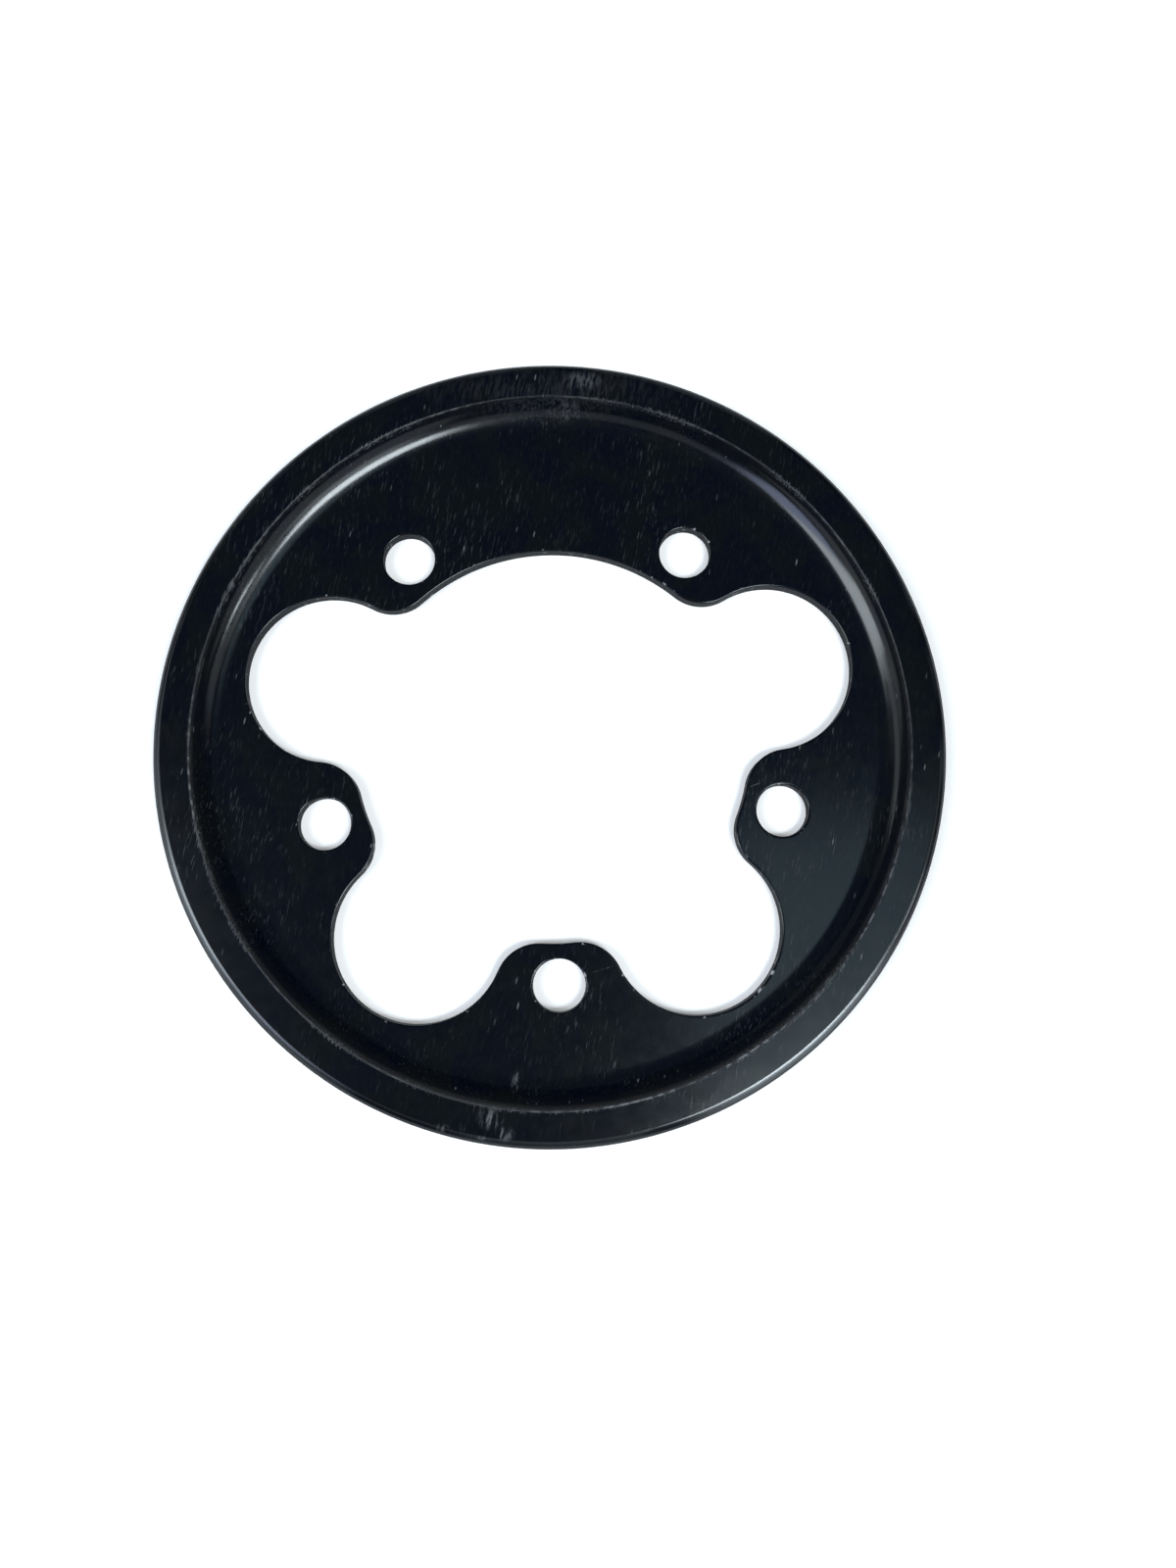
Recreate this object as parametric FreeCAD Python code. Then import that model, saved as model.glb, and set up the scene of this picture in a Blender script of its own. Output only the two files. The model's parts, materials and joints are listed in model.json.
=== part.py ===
import FreeCAD, Part
import math
import os

# Chainring guard: one flat ring, turned and milled from quarter-inch aluminium plate.
# Sizes are in millimetres. The ring lies on its back face, z = 0, with its axis on Z.

# Rim
outer_diameter = 154.4
plate_thickness = 6.35
rim_width = 7.25
front_round_radius = 1.8
back_edge_break = 0.6
land_edge_break = 0.25

# Web and the cove that runs from it up to the rim
web_thickness = 3.0
cove_radius = 7.5

# Bolt circle
bolt_count = 5
bolt_circle_diameter = 94.0
bolt_hole_diameter = 10.2

# Central opening: bolt tabs with a wall inside each bolt hole, and between them round scallops.
# One gap has no scallop: its floor lies on the bore.
tab_tip_wall = 2.9
bore_diameter = 78.0
scallop_diameter = 33.2
scallop_circle_diameter = 91.4
scallop_corner_radius = 8.5
plain_gap_angle = 90.0

# Small chamfer round the opening and the bolt holes, on both faces of the web
web_edge_break = 0.3

# Largest share of a wall or of a free arc that a round or a chamfer may take
wall_share = 0.4
arc_share = 0.95

# Distance under which two places count as one
tolerance = 1e-6

# Room by which the cutters run past the faces that they cut
cutter_overrun = 1.0

outer_radius = outer_diameter / 2
bore_radius = bore_diameter / 2
bolt_circle_radius = bolt_circle_diameter / 2
bolt_hole_radius = bolt_hole_diameter / 2
tab_tip_radius = bolt_circle_radius - bolt_hole_radius - tab_tip_wall
scallop_radius = scallop_diameter / 2
scallop_centre_radius = scallop_circle_diameter / 2
land_inner_radius = outer_radius - rim_width
gap_pitch = 360.0 / bolt_count
half_pitch = gap_pitch / 2
axis_up = FreeCAD.Vector(0, 0, 1)
on_axis = FreeCAD.Vector(0, 0, 0)


def polar(radius, degrees, height=0.0):
    """Point at a radius and an angle round the ring's axis."""
    turn = math.radians(degrees)
    return FreeCAD.Vector(radius * math.cos(turn), radius * math.sin(turn), height)


def section_point(radius, height):
    """Point of the ring's half section, in the XZ plane."""
    return FreeCAD.Vector(radius, 0, height)


def short_arc(centre, start, end):
    """Arc of less than half a turn about a centre."""
    spread = (start - centre) + (end - centre)
    middle = centre + spread.normalize() * (start - centre).Length
    return Part.Arc(start, middle, end).toShape()


def line(start, end):
    """Straight edge, or none where its two ends meet."""
    if start.isEqual(end, tolerance):
        return []
    return [Part.LineSegment(start, end).toShape()]


def disc_blank():
    """The turned disc: flat back, rim with a rounded front edge, flat land and a cove down to the web."""
    front_round = min(front_round_radius, wall_share * plate_thickness, wall_share * rim_width)
    back_break = min(back_edge_break, wall_share * plate_thickness)
    land_break = min(land_edge_break, wall_share * (plate_thickness - web_thickness))

    # The cove is tangent to the web, and rises as a plain wall where the rim stands higher than its radius
    cove_top = plate_thickness - land_break
    cove_rise = cove_top - web_thickness
    cove_turn = math.degrees(math.acos(max(0.0, 1.0 - cove_rise / cove_radius)))
    wall_foot = web_thickness + cove_radius * (1.0 - math.cos(math.radians(cove_turn)))
    cove_foot_radius = land_inner_radius - cove_radius * math.sin(math.radians(cove_turn))

    axis_back = section_point(0, 0)
    back_end = section_point(outer_radius - back_break, 0)
    wall_start = section_point(outer_radius, back_break)
    wall_end = section_point(outer_radius, plate_thickness - front_round)
    round_centre = section_point(outer_radius - front_round, plate_thickness - front_round)
    land_start = section_point(outer_radius - front_round, plate_thickness)
    land_end = section_point(land_inner_radius + land_break, plate_thickness)
    cove_wall_top = section_point(land_inner_radius, cove_top)
    cove_end = section_point(land_inner_radius, wall_foot)
    cove_centre = section_point(cove_foot_radius, web_thickness + cove_radius)
    cove_foot = section_point(cove_foot_radius, web_thickness)
    axis_front = section_point(0, web_thickness)

    edges = line(axis_back, back_end)
    edges += line(back_end, wall_start)
    edges += line(wall_start, wall_end)
    edges.append(short_arc(round_centre, wall_end, land_start))
    edges += line(land_start, land_end)
    edges += line(land_end, cove_wall_top)
    edges += line(cove_wall_top, cove_end)
    edges.append(short_arc(cove_centre, cove_end, cove_foot))
    edges += line(cove_foot, axis_front)
    edges += line(axis_front, axis_back)
    section = Part.Face(Part.Wire(edges))
    return section.revolve(on_axis, axis_up, 360)


def turn_between(first_radius, second_radius, distance):
    """Angle at the axis between two places, from their radii and the distance between them, in degrees."""
    cosine = (first_radius**2 + second_radius**2 - distance**2) / (2 * first_radius * second_radius)
    return math.degrees(math.acos(cosine))


def scallop_corner():
    """Radius of the round corners beside a scallop, and their turn from the middle of the gap in degrees.

    A corner is tangent to the scallop and to the circle of the tab tips. Between the two corners of a tab
    a stretch of its tip is left."""
    toward_tab = scallop_centre_radius * math.cos(math.radians(half_pitch))
    room = tab_tip_radius**2 - 2 * tab_tip_radius * toward_tab + scallop_centre_radius**2 - scallop_radius**2
    largest = room / (2 * (toward_tab + scallop_radius - tab_tip_radius))
    radius = min(scallop_corner_radius, arc_share * largest)
    turn = turn_between(tab_tip_radius + radius, scallop_centre_radius, scallop_radius + radius)
    return radius, turn


def toward(start, end, distance):
    """Point at a distance from start on the way to end."""
    return start + (end - start).normalize() * distance


def scalloped_gap(middle):
    """Outline of a gap with a scallop, from the middle of one tab to the middle of the next."""
    corner_radius, corner_turn = scallop_corner()
    scallop = polar(scallop_centre_radius, middle)
    deepest = polar(scallop_centre_radius + scallop_radius, middle)
    first_corner = polar(tab_tip_radius + corner_radius, middle - corner_turn)
    last_corner = polar(tab_tip_radius + corner_radius, middle + corner_turn)
    tip_end = polar(tab_tip_radius, middle - corner_turn)
    tip_start = polar(tab_tip_radius, middle + corner_turn)
    scallop_start = toward(scallop, first_corner, scallop_radius)
    scallop_end = toward(scallop, last_corner, scallop_radius)
    return [
        short_arc(on_axis, polar(tab_tip_radius, middle - half_pitch), tip_end),
        short_arc(first_corner, tip_end, scallop_start),
        short_arc(scallop, scallop_start, deepest),
        short_arc(scallop, deepest, scallop_end),
        short_arc(last_corner, scallop_end, tip_start),
        short_arc(on_axis, tip_start, polar(tab_tip_radius, middle + half_pitch)),
    ]


def plain_gap(middle):
    """Outline of the gap without a scallop, from tab to tab.

    Where the tab tips lie on another circle than its floor, two tangent arcs join them."""
    tab_start = polar(tab_tip_radius, middle - half_pitch)
    tab_end = polar(tab_tip_radius, middle + half_pitch)
    if abs(bore_radius - tab_tip_radius) < tolerance:
        return [short_arc(on_axis, tab_start, tab_end)]
    corner_radius, corner_turn = scallop_corner()
    inward = math.copysign(corner_radius, bore_radius - tab_tip_radius)
    corner_from_axis = tab_tip_radius + inward
    floor_from_axis = bore_radius - inward
    floor_turn = corner_turn - turn_between(corner_from_axis, floor_from_axis, 2 * corner_radius)
    first_corner = polar(corner_from_axis, middle - corner_turn)
    last_corner = polar(corner_from_axis, middle + corner_turn)
    first_blend = polar(floor_from_axis, middle - floor_turn)
    last_blend = polar(floor_from_axis, middle + floor_turn)
    tip_end = polar(tab_tip_radius, middle - corner_turn)
    tip_start = polar(tab_tip_radius, middle + corner_turn)
    floor_start = polar(bore_radius, middle - floor_turn)
    floor_end = polar(bore_radius, middle + floor_turn)
    first_turn = toward(first_corner, first_blend, corner_radius)
    last_turn = toward(last_corner, last_blend, corner_radius)
    return [
        short_arc(on_axis, tab_start, tip_end),
        short_arc(first_corner, tip_end, first_turn),
        short_arc(first_blend, first_turn, floor_start),
        short_arc(on_axis, floor_start, floor_end),
        short_arc(last_blend, floor_end, last_turn),
        short_arc(last_corner, last_turn, tip_start),
        short_arc(on_axis, tip_start, tab_end),
    ]


def opening_outline():
    """Outline of the central opening: the plain gap, then the scalloped gaps round the ring."""
    edges = plain_gap(plain_gap_angle)
    for gap in range(1, bolt_count):
        edges += scalloped_gap(plain_gap_angle + gap * gap_pitch)
    return Part.Wire(edges)


def opening_cutter():
    """Prism through the whole plate with the outline of the central opening."""
    outline = Part.Face(opening_outline())
    outline.translate(axis_up * -cutter_overrun)
    return outline.extrude(axis_up * (plate_thickness + 2 * cutter_overrun))


def bolt_hole_cutters():
    """One cylinder for each bolt hole, in the middle of its tab."""
    length = plate_thickness + 2 * cutter_overrun
    cutters = []
    for hole in range(bolt_count):
        place = polar(bolt_circle_radius, plain_gap_angle + (hole + 0.5) * gap_pitch, -cutter_overrun)
        cutters.append(Part.makeCylinder(bolt_hole_radius, length, place, axis_up))
    return cutters


def opening_edges(solid):
    """The edges of the opening and of the bolt holes: the inner outlines of the web's two faces."""
    found = []
    for face in solid.Faces:
        flat = face.BoundBox.ZLength < tolerance
        height = face.CenterOfMass.z
        on_web = abs(height) < tolerance or abs(height - web_thickness) < tolerance
        if flat and on_web:
            for outline in face.Wires:
                if not outline.isSame(face.OuterWire):
                    found += outline.Edges
    return found


def guard_ring():
    """The finished ring, with its opening, bolt holes and broken edges."""
    ring = disc_blank()
    ring = ring.cut([opening_cutter()] + bolt_hole_cutters())
    ring = ring.removeSplitter()
    edge_break = min(web_edge_break, wall_share * web_thickness)
    return ring.makeChamfer(edge_break, opening_edges(ring))


os.makedirs("parts", exist_ok=True)
finished = guard_ring()
finished.exportStep("parts/guard_ring.step")
print("solids", len(finished.Solids), "valid", finished.isValid())
print("volume", round(finished.Volume, 1), "box", finished.optimalBoundingBox())
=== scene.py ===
import json
import math

import bmesh
import bpy
from mathutils import Matrix, Vector


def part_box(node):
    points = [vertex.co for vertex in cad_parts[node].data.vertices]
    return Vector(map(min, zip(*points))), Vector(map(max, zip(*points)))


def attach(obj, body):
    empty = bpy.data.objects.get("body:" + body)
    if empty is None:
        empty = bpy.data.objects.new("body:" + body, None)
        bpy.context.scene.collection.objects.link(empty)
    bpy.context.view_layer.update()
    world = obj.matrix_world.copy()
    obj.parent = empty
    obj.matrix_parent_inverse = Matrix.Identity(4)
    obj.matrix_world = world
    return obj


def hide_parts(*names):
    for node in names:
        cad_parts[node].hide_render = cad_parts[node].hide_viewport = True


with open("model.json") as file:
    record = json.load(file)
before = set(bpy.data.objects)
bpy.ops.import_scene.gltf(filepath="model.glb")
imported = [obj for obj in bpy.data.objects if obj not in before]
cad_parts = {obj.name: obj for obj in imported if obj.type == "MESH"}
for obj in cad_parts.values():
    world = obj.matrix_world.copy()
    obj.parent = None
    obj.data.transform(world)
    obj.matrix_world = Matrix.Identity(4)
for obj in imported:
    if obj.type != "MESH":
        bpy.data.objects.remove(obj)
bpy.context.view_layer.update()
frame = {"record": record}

# The web of the guard ring: quarter-inch aluminium plate, thinned and then milled through by one end mill.
# The central opening is a bore with a round scallop between the bolt tabs, and none in the top gap; five
# holes take the chainring bolts. Their edges are broken on both faces. The ring is modelled in millimetres.
mm = 0.001
axis_up = Vector((0, 0, 1))
on_axis = Vector((0, 0, 0))
bolts = next(mount for mount in frame["record"]["mounts"] if mount["name"] == "chainring_bolts")
bolt_count = bolts["dims"]["count"]
bolt_circle_radius = bolts["dims"]["pcd_mm"] / 2
bolt_hole_radius = bolts["dims"]["hole_r_mm"]
web_thickness = 3.0
tab_tip_wall = 2.9
scallop_radius = 16.6
scallop_centre_radius = 45.7
corner_radius = 8.5
plain_gap_angle = math.radians(90)
web_edge_break = 0.3
edge_band = 0.55

# Steps of the arcs round the opening and the holes, and the distance under which two places count as one
plain_gap_steps = 48
tab_tip_steps = 4
corner_steps = 16
scallop_steps = 56
hole_steps = 64
web_edge_steps = 3
same_place = 0.01

tab_tip_radius = bolt_circle_radius - bolt_hole_radius - tab_tip_wall
gap_pitch = math.tau / bolt_count
half_pitch = gap_pitch / 2


def angle_opposite(side, first, second):
    """Angle of a triangle between its first and second sides, opposite the given side."""
    return math.acos((first**2 + second**2 - side**2) / (2 * first * second))


corner_centre_radius = tab_tip_radius + corner_radius
corner_to_scallop = scallop_radius + corner_radius
corner_turn = angle_opposite(corner_to_scallop, corner_centre_radius, scallop_centre_radius)
corner_sweep = angle_opposite(scallop_centre_radius, corner_centre_radius, corner_to_scallop)
scallop_sweep = 2 * (corner_turn + corner_sweep)
tab_tip_sweep = half_pitch - corner_turn


def polar(radius, angle):
    """Place on the back face at a radius and an angle round the ring's axis."""
    return Vector((radius * math.cos(angle), radius * math.sin(angle), 0))


def draw_arc(mesh, start, centre, axis, angle, steps):
    """Draws an arc from a vertex round a centre, and gives the vertex at its end."""
    drawn = bmesh.ops.spin(mesh, geom=[start], cent=centre, axis=axis, angle=angle, steps=steps)
    return drawn["geom_last"][0]


def draw_opening(mesh):
    """Draws the outline of the opening on the back face, and gives its edges."""
    start = mesh.verts.new(polar(tab_tip_radius, plain_gap_angle - half_pitch))
    end = draw_arc(mesh, start, on_axis, axis_up, gap_pitch, plain_gap_steps)
    for gap in range(1, bolt_count):
        middle = plain_gap_angle + gap * gap_pitch
        first_corner = polar(corner_centre_radius, middle - corner_turn)
        last_corner = polar(corner_centre_radius, middle + corner_turn)
        scallop = polar(scallop_centre_radius, middle)
        end = draw_arc(mesh, end, on_axis, axis_up, tab_tip_sweep, tab_tip_steps)
        end = draw_arc(mesh, end, first_corner, axis_up, -corner_sweep, corner_steps)
        end = draw_arc(mesh, end, scallop, axis_up, scallop_sweep, scallop_steps)
        end = draw_arc(mesh, end, last_corner, axis_up, -corner_sweep, corner_steps)
        end = draw_arc(mesh, end, on_axis, axis_up, tab_tip_sweep, tab_tip_steps)
    bmesh.ops.remove_doubles(mesh, verts=[start, end], dist=same_place)
    return mesh.edges[:]


def draw_bolt_hole(mesh, angle):
    """Draws the circle of a bolt hole on the back face, and gives its edges."""
    middle = Matrix.Translation(polar(bolt_circle_radius, angle))
    drawn = bmesh.ops.create_circle(mesh, segments=hole_steps, radius=bolt_hole_radius, matrix=middle)
    return list({edge for vertex in drawn["verts"] for edge in vertex.link_edges})


def only(kind, parts):
    """The parts of one kind, such as vertices, from what an operator gives back."""
    return [part for part in parts if isinstance(part, kind)]


def round_off(mesh, edges, size, steps):
    """Rounds off edges by a size, and gives the new faces."""
    rounded = bmesh.ops.bevel(
        mesh,
        geom=edges,
        offset=size,
        offset_type="OFFSET",
        affect="EDGES",
        segments=steps,
        profile=0.5,
        material=-1,
    )
    return rounded["faces"]


def mill_through(mesh, outline, wear):
    """Raises the wall of a cut from its outline, and lays a narrow band of each face round it.

    Its edges are then broken, and get the value 1 in the layer of wear."""
    raised = bmesh.ops.extrude_edge_only(mesh, edges=outline)["geom"]
    bmesh.ops.translate(mesh, vec=axis_up * web_thickness, verts=only(bmesh.types.BMVert, raised))
    wall = only(bmesh.types.BMFace, raised)
    bmesh.ops.recalc_face_normals(mesh, faces=wall)
    mesh.normal_update()
    rims = list({edge for face in wall for edge in face.edges if edge.is_boundary})
    outwards = {vertex: vertex.normal.copy() for edge in rims for vertex in edge.verts}
    band = bmesh.ops.extrude_edge_only(mesh, edges=rims)["geom"]
    for vertex in only(bmesh.types.BMVert, band):
        neighbours = [edge.other_vert(vertex) for edge in vertex.link_edges]
        wall_vertex = next(neighbour for neighbour in neighbours if neighbour in outwards)
        vertex.co += outwards[wall_vertex] * edge_band
    bmesh.ops.recalc_face_normals(mesh, faces=wall + only(bmesh.types.BMFace, band))
    mesh.normal_update()
    for face in round_off(mesh, rims, web_edge_break, web_edge_steps):
        for vertex in face.verts:
            vertex[wear] = 1.0


ring = bmesh.new()
worn_edge = ring.verts.layers.float.new("worn_edge")
mill_through(ring, draw_opening(ring), worn_edge)
for hole in range(bolt_count):
    hole_angle = plain_gap_angle + half_pitch + hole * gap_pitch
    mill_through(ring, draw_bolt_hole(ring, hole_angle), worn_edge)

# The rim of the guard ring, of one piece with the web and turned on the lathe: flat back, rounded front edge,
# a flat land with a crisp inner edge, and a cove that runs from that edge down to the web.
ring_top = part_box("guard_ring")[1]
outer_radius = ring_top.x / mm
plate_thickness = ring_top.z / mm
rim_width = 7.25
front_round = 1.8
back_break = 0.6
land_break = 0.25
land_break_round = 0.06
cove_radius = 7.5
turning_steps = 360
cove_steps = 20

land_inner_radius = outer_radius - rim_width
cove_rise = plate_thickness - land_break - web_thickness
cove_turn = math.acos(1 - cove_rise / cove_radius)
cove_foot_radius = land_inner_radius - cove_radius * math.sin(cove_turn)


def draw_line(mesh, start, end):
    """Draws a straight edge from a vertex to a place, and gives the vertex there."""
    drawn = bmesh.ops.extrude_vert_indiv(mesh, verts=[start])["verts"][0]
    drawn.co = end
    return drawn


def circle_edges(mesh, radius, height):
    """Edges of the turned shape that run round the axis at a radius and a height."""
    found = []
    for edge in mesh.edges:
        off_radius = [abs(vertex.co.xy.length - radius) for vertex in edge.verts]
        off_height = [abs(vertex.co.z - height) for vertex in edge.verts]
        if max(off_radius + off_height) < same_place:
            found.append(edge)
    return found


milled = set(ring.verts)
back_inside = ring.verts.new((cove_foot_radius, 0, 0))
back_corner = draw_line(ring, back_inside, (outer_radius, 0, 0))
front_corner = draw_line(ring, back_corner, (outer_radius, 0, plate_thickness))
land_end = draw_line(ring, front_corner, (land_inner_radius + land_break, 0, plate_thickness))
cove_top = draw_line(ring, land_end, (land_inner_radius, 0, plate_thickness - land_break))
cove_centre = (cove_foot_radius, 0, web_thickness + cove_radius)
across_section = (0, 1, 0)
draw_arc(ring, cove_top, cove_centre, across_section, cove_turn, cove_steps)
section = [vertex for vertex in ring.verts if vertex not in milled]
section += [edge for edge in ring.edges if edge.verts[0] not in milled]
bmesh.ops.spin(
    ring, geom=section, cent=on_axis, axis=axis_up, angle=math.tau, steps=turning_steps, use_merge=True
)

# The turned edges by radius, height, size of the round and steps in it
turned_edges = [
    (outer_radius, plate_thickness, front_round, 12),
    (outer_radius, 0, back_break, 3),
    (land_inner_radius + land_break, plate_thickness, land_break_round, 2),
    (land_inner_radius, plate_thickness - land_break, land_break_round, 2),
]
for edge_radius, edge_height, round_size, round_steps in turned_edges:
    round_off(ring, circle_edges(ring, edge_radius, edge_height), round_size, round_steps)

# The flat faces of the web close the ring between the rim and the milled edges
for web_face_height in (0, web_thickness):
    open_edges = [edge for edge in ring.edges if edge.is_boundary]
    face_edges = [edge for edge in open_edges if abs(edge.verts[0].co.z - web_face_height) < same_place]
    bmesh.ops.triangle_fill(ring, edges=face_edges, use_beauty=True)
bmesh.ops.recalc_face_normals(ring, faces=ring.faces)
bmesh.ops.scale(ring, vec=(mm, mm, mm), verts=ring.verts)

for face in ring.faces:
    face.smooth = True
guard_ring = bpy.data.objects.new("anodised_guard_ring", bpy.data.meshes.new("anodised_guard_ring"))
ring.to_mesh(guard_ring.data)
ring.free()
bpy.context.scene.collection.objects.link(guard_ring)
guard_ring.modifiers.new("flat_faces_stay_flat", "WEIGHTED_NORMAL")

# The finish: black anodise on a fine satin surface, dark blue where the dye is thick and greyer where it is
# thin. It is rubbed through along the edges, and use has left pale specks, scuffs and a few scratches on the
# front. On two arcs of the rounded outer edge, a stronger metal sheen where the lamps catch it is a painted
# highlight added to the rubbing. Sizes and places are in millimetres.
deep_dye = (0.0002, 0.0009, 0.0039, 1)
thin_dye = (0.0014, 0.0021, 0.0031, 1)
grain_dye = (0.0042, 0.0052, 0.0062, 1)
rubbed_metal = (0.30, 0.31, 0.33, 1)
# Metal sheen of the outer edge: wear all round, and a painted highlight on the arcs where the lamps catch it.
wear_and_highlight_sheen = (0.20, 0.215, 0.225, 1)
mirror_tint = (0.94, 0.98, 1, 1)
mirror_index = 1.42
mark_lean = math.radians(-13)

anodise = bpy.data.materials.new("black_anodise")
anodise.use_nodes = True
anodise_tree = anodise.node_tree
shader = anodise_tree.nodes["Principled BSDF"]


def add_node(tree, kind, inputs, **settings):
    """Adds a node with its settings and with inputs that are values or sockets of other nodes."""
    added = tree.nodes.new(kind)
    for setting, value in settings.items():
        setattr(added, setting, value)
    for name, value in inputs.items():
        if isinstance(value, bpy.types.NodeSocket):
            tree.links.new(value, added.inputs[name])
        else:
            added.inputs[name].default_value = value
    return added


def maths(operation, *values):
    """Result of a sum in the anodise, from values and sockets."""
    added = add_node(anodise_tree, "ShaderNodeMath", dict(enumerate(values)), operation=operation)
    return added.outputs[0]


def times(first, *others):
    """Product of values and sockets."""
    product = first
    for other in others:
        product = maths("MULTIPLY", product, other)
    return product


def largest(first, *others):
    """Largest of values and sockets."""
    found = first
    for other in others:
        found = maths("MAXIMUM", found, other)
    return found


def between(share, low, high):
    """Goes from the low value where the share is 0 to the high value where it is 1."""
    return maths("MULTIPLY_ADD", share, high - low, low)


def vector_maths(operation, *values):
    """Node for a sum with vectors in the anodise."""
    return add_node(anodise_tree, "ShaderNodeVectorMath", dict(enumerate(values)), operation=operation)


def step(value, start, end):
    """Goes smoothly from 0 where the value is at the start to 1 where it is at the end."""
    limits = {"Value": value, "From Min": start, "From Max": end}
    added = add_node(anodise_tree, "ShaderNodeMapRange", limits, interpolation_type="SMOOTHSTEP")
    return added.outputs[0]


def cloud(where, size, detail):
    """Noise with spots of about a size."""
    look = {"Vector": where, "Scale": 1 / size, "Detail": detail}
    return add_node(anodise_tree, "ShaderNodeTexNoise", look).outputs[0]


def mix_colours(amount, first, second):
    """Colour between two colours; the numbers are those of the node's colour sockets."""
    mixed = add_node(anodise_tree, "ShaderNodeMix", {0: amount, 6: first, 7: second}, data_type="RGBA")
    return mixed.outputs[2]


def turned_to(where, centre, turn, size):
    """Place as seen from a centre along turned axes, counted in a size along each axis."""
    view = {"Vector": where, "Location": centre, "Rotation": (0, 0, turn), "Scale": size}
    return add_node(anodise_tree, "ShaderNodeMapping", view, vector_type="TEXTURE").outputs[0]


in_metres = add_node(anodise_tree, "ShaderNodeTexCoord", {}).outputs["Object"]
place = vector_maths("MULTIPLY", in_metres, (1 / mm, 1 / mm, 1 / mm)).outputs[0]
plan = vector_maths("MULTIPLY", place, (1, 1, 0)).outputs[0]
from_axis = vector_maths("LENGTH", plan).outputs["Value"]
outwards_in_plan = vector_maths("NORMALIZE", plan).outputs[0]
above_back = add_node(anodise_tree, "ShaderNodeSeparateXYZ", {0: place}).outputs["Z"]


def near_angle(middle, half_width):
    """Goes from 0 at a half width from an angle round the axis, in degrees, to 1 at that angle."""
    toward_middle = polar(1, math.radians(middle))
    closeness = vector_maths("DOT_PRODUCT", outwards_in_plan, toward_middle).outputs["Value"]
    return step(closeness, start=math.cos(math.radians(half_width)), end=1.0)


def in_spot(centre, length, width, turn, core):
    """Goes from 0 at the edge of an oval, turned by degrees, to 1 in its core, a share of the oval."""
    seen = turned_to(plan, (*centre, 0), math.radians(turn), (length / 2, width / 2, 1))
    return step(vector_maths("LENGTH", seen).outputs["Value"], start=1.0, end=core)


def leaning(width, length):
    """Place along axes that lean as the marks do, counted in the width and the length of a streak."""
    return turned_to(place, on_axis, mark_lean, (width, length, width))


# Rubbing along the crisp inner edge of the rim: a thin pale line with brighter dashes in patches, both
# stronger on the lower half.
edge_distance = maths("ABSOLUTE", maths("SUBTRACT", from_axis, land_inner_radius + land_break / 2))
near_front = step(above_back, start=plate_thickness - 0.5, end=plate_thickness - 0.3)
on_land_edge = times(step(edge_distance, start=0.22, end=0.08), near_front)
edge_dashes = step(cloud(place, size=1.6, detail=2), start=0.42, end=0.62)
edge_patches = step(cloud(place, size=25.0, detail=1), start=0.35, end=0.65)
on_lower_half = near_angle(-110, half_width=115)
line_wear = between(on_lower_half, low=0.015, high=0.165)
dash_wear = between(on_lower_half, low=0.14, high=0.59)
edge_wear = maths("MULTIPLY_ADD", times(edge_dashes, edge_patches), dash_wear, line_wear)
rubbed_land_edge = times(on_land_edge, edge_wear)

# Rubbing on the milled edges, in short dashes that crowd together at a few places, each with its width.
worn_places = [((41.5, -45.0), 7.0), ((38.5, -49.0), 5.0), ((-35.0, -19.7), 3.5)]
crowding_strength = 0.10
milled_edge = add_node(anodise_tree, "ShaderNodeAttribute", {}, attribute_name="worn_edge").outputs["Fac"]
crowding = largest(*[in_spot(centre, width, width, turn=0, core=0.5) for centre, width in worn_places])
dashes = maths("MULTIPLY_ADD", crowding, crowding_strength, cloud(place, size=1.4, detail=2))
rubbed_milled_edge = times(milled_edge, step(dashes, start=0.64, end=0.76))

# Pale specks, each a short streak: many faint ones in clusters and beside the rim's inner edge, and a few
# bright ones. A high power of each cell's chance leaves only a few cells with a bright speck.
edge_streak_paleness = 0.22
bright_speck_paleness = 0.35
rarity = 9
streaks = cloud(leaning(width=0.26, length=2.4), size=1.0, detail=1)
clusters = step(cloud(place, size=14.0, detail=3), start=0.42, end=0.68)
faint_specks = times(step(streaks, start=0.58, end=0.80), between(clusters, low=0.012, high=0.102))
beside_edge = step(edge_distance, start=0.65, end=0.25)
edge_stretches = step(cloud(place, size=16.0, detail=1), start=0.40, end=0.62)
crowded_streaks = times(beside_edge, edge_stretches, step(streaks, start=0.48, end=0.64))
edge_streaks = times(crowded_streaks, edge_streak_paleness)
cells = {"Vector": leaning(width=1.2, length=5.5), "Scale": 1.0}
speck = add_node(anodise_tree, "ShaderNodeTexVoronoi", cells)
chance = add_node(anodise_tree, "ShaderNodeSeparateColor", {0: speck.outputs["Color"]}).outputs[0]
in_speck = step(speck.outputs["Distance"], start=0.17, end=0.06)
bright_specks = times(in_speck, maths("POWER", chance, rarity), bright_speck_paleness)
specks = largest(faint_specks, edge_streaks, bright_specks)

# Scuffs and scratches on the front, by place, length, width, turn in degrees, and how pale they are.
marks = [
    ((2.0, 71.0), 70.0, 14.0, 0, 0.035),
    ((8.1, 73.1), 11.0, 5.6, 0, 0.17),
    ((4.4, 68.1), 10.0, 6.5, -10, 0.10),
    ((-13.3, -70.8), 6.5, 5.4, -10, 0.30),
    ((-11.0, -73.7), 4.6, 3.6, -5, 0.27),
    ((-22.3, -72.3), 3.6, 2.2, -15, 0.16),
    ((-15.2, -74.3), 2.2, 1.2, -10, 0.25),
    ((-8.8, -64.8), 2.0, 4.6, -13, 0.22),
    ((8.4, -44.2), 5.6, 0.3, 15, 0.15),
    ((39.3, -9.4), 3.6, 0.3, 19, 0.25),
]
scuffs = 0.0
for centre, length, width, turn, paleness in marks:
    scuffs = largest(scuffs, times(in_spot(centre, length, width, turn, core=0.2), paleness))
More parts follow.
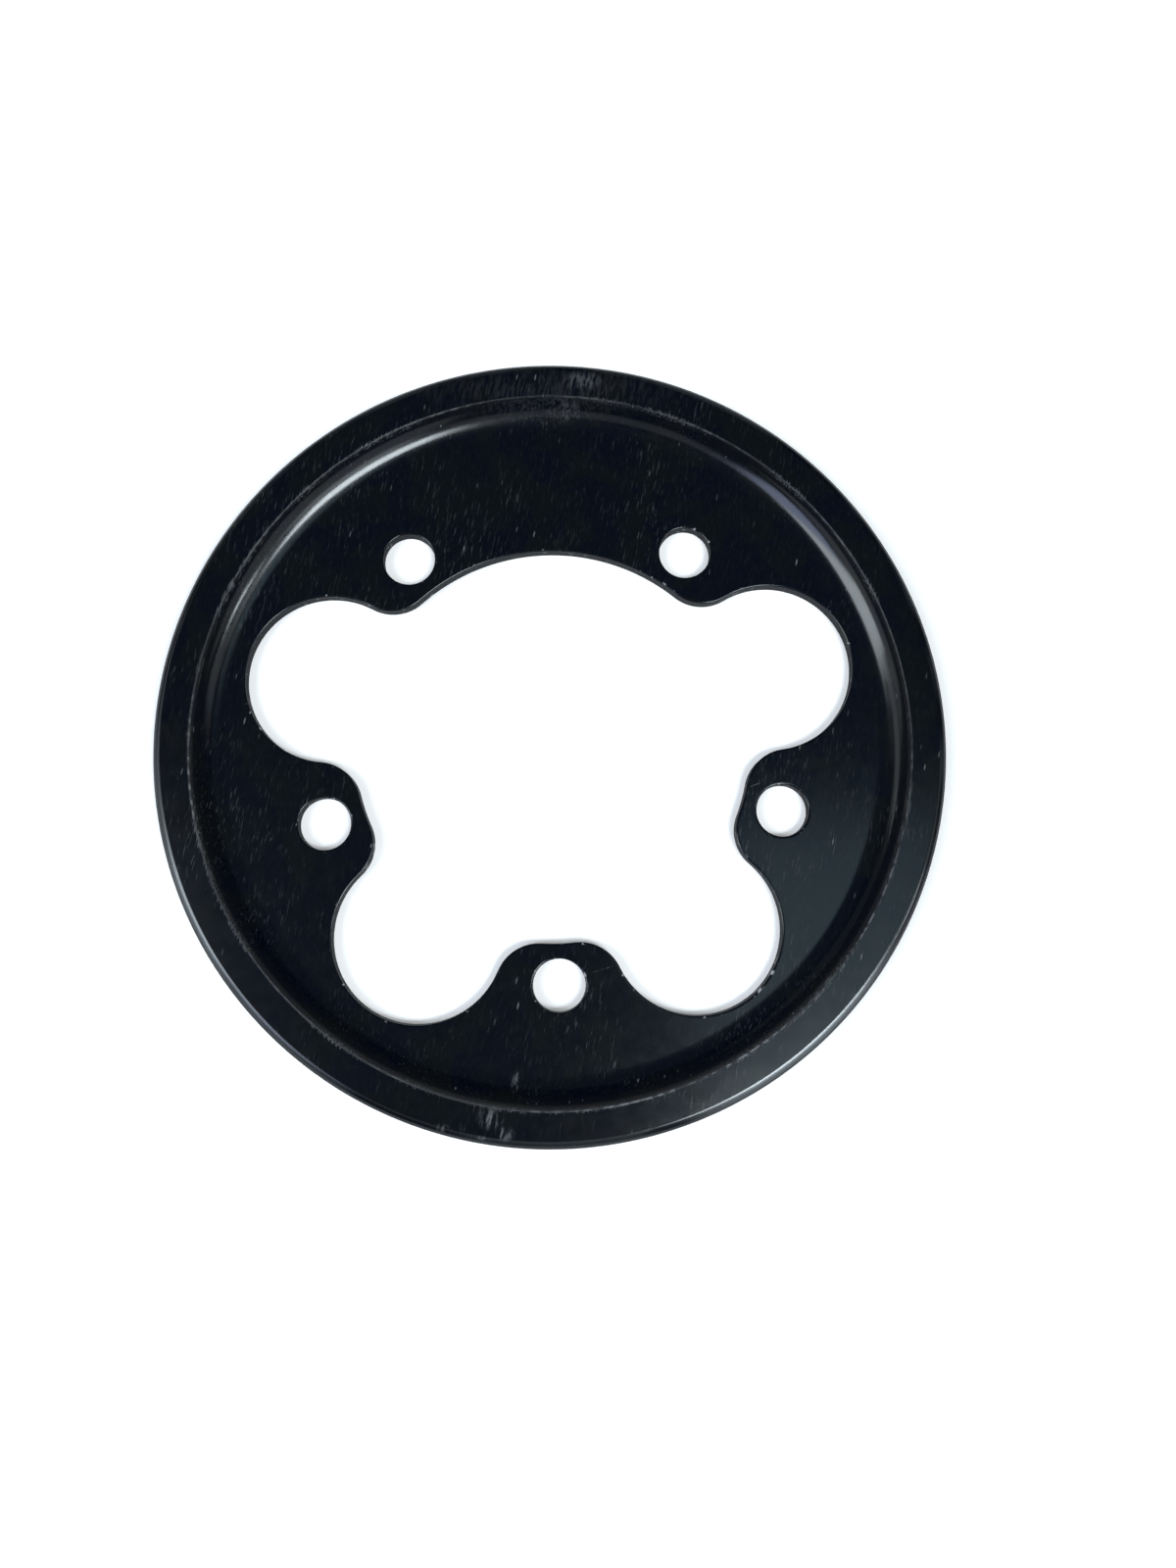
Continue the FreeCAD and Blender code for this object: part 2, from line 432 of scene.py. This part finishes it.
broken_up = step(cloud(leaning(width=0.55, length=2.4), size=1.0, detail=2), start=0.40, end=0.66)
on_front = step(above_back, start=web_thickness - 0.4, end=web_thickness - 0.1)
rubbed = largest(rubbed_land_edge, rubbed_milled_edge, specks, times(scuffs, broken_up, on_front))

# The rounded outer edge is rubbed thin, so the metal shines through it a little all round. On two arcs, most
# in the middle of the second, the stronger metal sheen is a painted highlight where the lamps catch the edge;
# each arc has its middle and its half width in degrees, and how strong its sheen is.
painted_highlight_arcs = [(-52, 22, 0.64), (-155, 34, 0.15), (-155, 12, 0.25)]
rubbed_all_round = 0.07
foot_of_round = outer_radius - 0.2 * front_round
low_on_round = outer_radius - 0.45 * front_round
high_on_round = outer_radius - 0.8 * front_round
worn_and_highlighted = times(step(cloud(place, size=20.0, detail=1), start=0.4, end=0.6), rubbed_all_round)
for middle, half_width, amount in painted_highlight_arcs:
    worn_and_highlighted = maths("MULTIPLY_ADD", near_angle(middle, half_width), amount, worn_and_highlighted)
on_outer_round = step(from_axis, start=outer_radius - front_round, end=high_on_round)
above_foot = step(from_axis, start=foot_of_round, end=low_on_round)
wear_and_highlight_shine = times(on_outer_round, above_foot, worn_and_highlighted)
anodise_tree.links.new(wear_and_highlight_shine, shader.inputs["Metallic"])

# The dye: clouds of deep and thin dye with a fine grain, under what is rubbed.
grain_strength = 0.5
grain = cloud(leaning(width=0.35, length=1.2), size=1.0, detail=2)
dye = mix_colours(step(cloud(place, size=8.0, detail=4), start=0.43, end=0.58), deep_dye, thin_dye)
dye = mix_colours(times(step(grain, start=0.40, end=0.80), grain_strength), dye, grain_dye)
# The metal sheen of the outer edge replaces the dye: wear all round, and a painted highlight on the two arcs.
dye = mix_colours(wear_and_highlight_shine, dye, wear_and_highlight_sheen)
anodise_tree.links.new(mix_colours(rubbed, dye, rubbed_metal), shader.inputs["Base Color"])

# The surface: satin, rougher where it is rubbed and on the cut walls, with faint turning marks.
satin_roughness = 0.15
satin_spread = 0.04
rubbed_roughness = 0.5
cut_wall_roughness = 0.8
outer_wall_roughness = 0.7
land_edge_roughness = 0.4
outer_round_roughness = 0.18
shine_roughness = 0.27
turning_pitch = 0.35
turning_mark_height = 0.15
surface_depth = 0.01
surface_strength = 0.25

satin = between(
    cloud(place, size=3.0, detail=3), low=satin_roughness - satin_spread, high=satin_roughness + satin_spread
)
satin_or_rubbed = maths("MULTIPLY_ADD", rubbed, rubbed_roughness - satin_roughness, satin)
above_back_break = step(above_back, start=0.1, end=0.4)
below_web_face = step(above_back, start=web_thickness - 0.1, end=web_thickness - 0.4)
inside_cove = step(from_axis, start=cove_foot_radius + 0.6, end=cove_foot_radius)
on_cut_wall = times(above_back_break, below_web_face, inside_cove)
on_outer_wall = step(from_axis, start=low_on_round, end=foot_of_round)
round_roughness = times(on_outer_round, outer_round_roughness)
roughness = largest(
    satin_or_rubbed,
    times(on_cut_wall, cut_wall_roughness),
    times(on_outer_wall, outer_wall_roughness),
    times(on_land_edge, land_edge_roughness),
    maths("MULTIPLY_ADD", wear_and_highlight_shine, shine_roughness, round_roughness),
)
anodise_tree.links.new(roughness, shader.inputs["Roughness"])
shader.inputs["IOR"].default_value = mirror_index
shader.inputs["Specular Tint"].default_value = mirror_tint
turning_marks = maths("SINE", times(from_axis, math.tau / turning_pitch))
relief = {
    "Height": maths("MULTIPLY_ADD", turning_marks, turning_mark_height, grain),
    "Strength": surface_strength,
    "Distance": surface_depth * mm,
}
bump = add_node(anodise_tree, "ShaderNodeBump", relief)
anodise_tree.links.new(bump.outputs[0], shader.inputs["Normal"])
guard_ring.data.materials.append(anodise)

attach(guard_ring, "root")
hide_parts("guard_ring")

# The floor that the ring lies on: plain white board, matt, which keeps the soft shadow of the ring.
# Where it is seen, a little light of its own lifts it to white outside the shadow. Sizes from here on are
# in metres.
floor_half = 3.0
board_white = (0.8, 0.8, 0.8, 1)
board_roughness = 0.9
lift_colour = (1, 1, 1, 1)
board_lift = 0.25
floor_mesh = bmesh.new()
bmesh.ops.create_grid(floor_mesh, x_segments=1, y_segments=1, size=floor_half)
floor = bpy.data.objects.new("floor", bpy.data.meshes.new("floor"))
floor_mesh.to_mesh(floor.data)
floor_mesh.free()
bpy.context.scene.collection.objects.link(floor)
board = bpy.data.materials.new("white_board")
board.use_nodes = True
board_tree = board.node_tree
paint = board_tree.nodes["Principled BSDF"]
paint.inputs["Base Color"].default_value = board_white
paint.inputs["Roughness"].default_value = board_roughness
paint.inputs["Emission Color"].default_value = lift_colour
ray = add_node(board_tree, "ShaderNodeLightPath", {}).outputs
mirrored = add_node(board_tree, "ShaderNodeMath", {0: ray["Is Camera Ray"], 1: ray["Is Glossy Ray"]})
seen = add_node(board_tree, "ShaderNodeMath", {0: mirrored.outputs[0], 1: ray["Is Transmission Ray"]})
lift = add_node(board_tree, "ShaderNodeMath", {0: seen.outputs[0], 1: board_lift}, operation="MULTIPLY")
board_tree.links.new(lift.outputs[0], paint.inputs["Emission Strength"])
floor.data.materials.append(board)

# The light: soft panels under the ceiling of a dim room, in a row to the right in front of the ring and in a
# slanting row to the left, with fainter panels round them that soften the edges of their mirror images.
ceiling = 2.0
daylight = (0.90, 0.97, 1)
blue_daylight = (0.64, 0.90, 1)
deep_blue_daylight = (0.50, 0.75, 1)
violet_daylight = (0.62, 0.71, 1)


def ceiling_panel(name, centre, size, turn, power, colour=daylight):
    """Hangs a panel under the ceiling, facing down, turned by degrees about the vertical."""
    lamp = bpy.data.lights.new(name, "AREA")
    lamp.shape = "RECTANGLE"
    lamp.size, lamp.size_y = size
    lamp.energy = power
    lamp.color = colour
    panel = bpy.data.objects.new(name, lamp)
    panel.location = (*centre, ceiling)
    panel.rotation_euler.z = math.radians(turn)
    bpy.context.scene.collection.objects.link(panel)


ceiling_panel("right_panel", (0.68, -0.67), (0.70, 0.52), turn=10, power=30)
ceiling_panel("right_end_panel", (1.80, -0.51), (0.45, 0.15), turn=15, power=7)
ceiling_panel("right_middle_panel", (1.10, -0.30), (0.55, 0.35), turn=-28, power=1.3)
ceiling_panel("right_far_glow", (1.75, -0.05), (1.20, 0.45), turn=-8, power=1.5)
ceiling_panel("right_near_glow", (1.20, -1.20), (0.90, 0.60), turn=10, power=6)
ceiling_panel("right_glow", (2.60, -2.10), (3.60, 3.00), turn=10, power=28)
ceiling_panel("front_glow", (-0.20, -1.30), (1.60, 1.00), turn=0, power=2.5)
ceiling_panel("overhead_glow", (0.51, -0.10), (0.52, 0.52), turn=0, power=1.0, colour=blue_daylight)
ceiling_panel("overhead", (0, 0.33), (1.50, 1.56), turn=0, power=0.75, colour=deep_blue_daylight)
ceiling_panel("left_panel", (-1.84, -0.36), (1.96, 0.65), turn=11, power=39)
ceiling_panel("left_core", (-1.52, -0.28), (0.80, 0.30), turn=130, power=1.9)
ceiling_panel("left_near_panel", (-1.50, -0.94), (1.46, 0.70), turn=32, power=18, colour=violet_daylight)
ceiling_panel("left_far_glow", (-2.20, 0.45), (1.20, 0.90), turn=0, power=4)
ceiling_panel("left_back_glow", (-1.60, 1.70), (1.50, 1.20), turn=0, power=1.0)
ceiling_panel("left_end_panel", (-2.37, 1.03), (0.35, 0.15), turn=-63, power=1.0)
ceiling_panel("left_glow", (-4.20, -1.20), (2.80, 3.40), turn=11, power=30)

# The room round the floor: grey walls, palest at the horizon, that grow dim toward the ceiling.
# Each colour has the upward part of its direction, from 0 at the horizon to 1 straight up.
wall_colours = [
    (0.0, (0.52, 0.54, 0.55, 1)),
    (0.22, (0.085, 0.092, 0.098, 1)),
    (0.75, (0.026, 0.031, 0.035, 1)),
]
room = bpy.data.worlds.new("grey_room")
bpy.context.scene.world = room
room.use_nodes = True
room_tree = room.node_tree
direction = add_node(room_tree, "ShaderNodeTexCoord", {}).outputs["Generated"]
upwards = add_node(room_tree, "ShaderNodeSeparateXYZ", {0: direction}).outputs["Z"]
walls = add_node(room_tree, "ShaderNodeValToRGB", {0: upwards})
walls.color_ramp.interpolation = "EASE"
middle_stop = wall_colours[1][0]
walls.color_ramp.elements.new(middle_stop)
for stop, (upward_part, colour) in zip(walls.color_ramp.elements, wall_colours):
    stop.position = upward_part
    stop.color = colour
room_tree.links.new(walls.outputs[0], room_tree.nodes["Background"].inputs["Color"])

# The camera, held close above the ring and a little in front of it, looks almost straight down.
# Its short lens and its small tilts, in degrees, give the ring the outline of the photograph.
camera_place = Vector((1.2, -35.9, 231.6)) * mm
camera_tilts = (6.940, -1.166, -1.793)
camera = bpy.data.objects.new("camera", bpy.data.cameras.new("camera"))
camera.data.lens = 27.0
camera.data.sensor_width = 36.0
camera.data.clip_start = 0.01
camera.location = camera_place
camera.rotation_euler = [math.radians(tilt) for tilt in camera_tilts]
bpy.context.scene.collection.objects.link(camera)
bpy.context.scene.camera = camera
bpy.context.scene.view_settings.view_transform = "Standard"
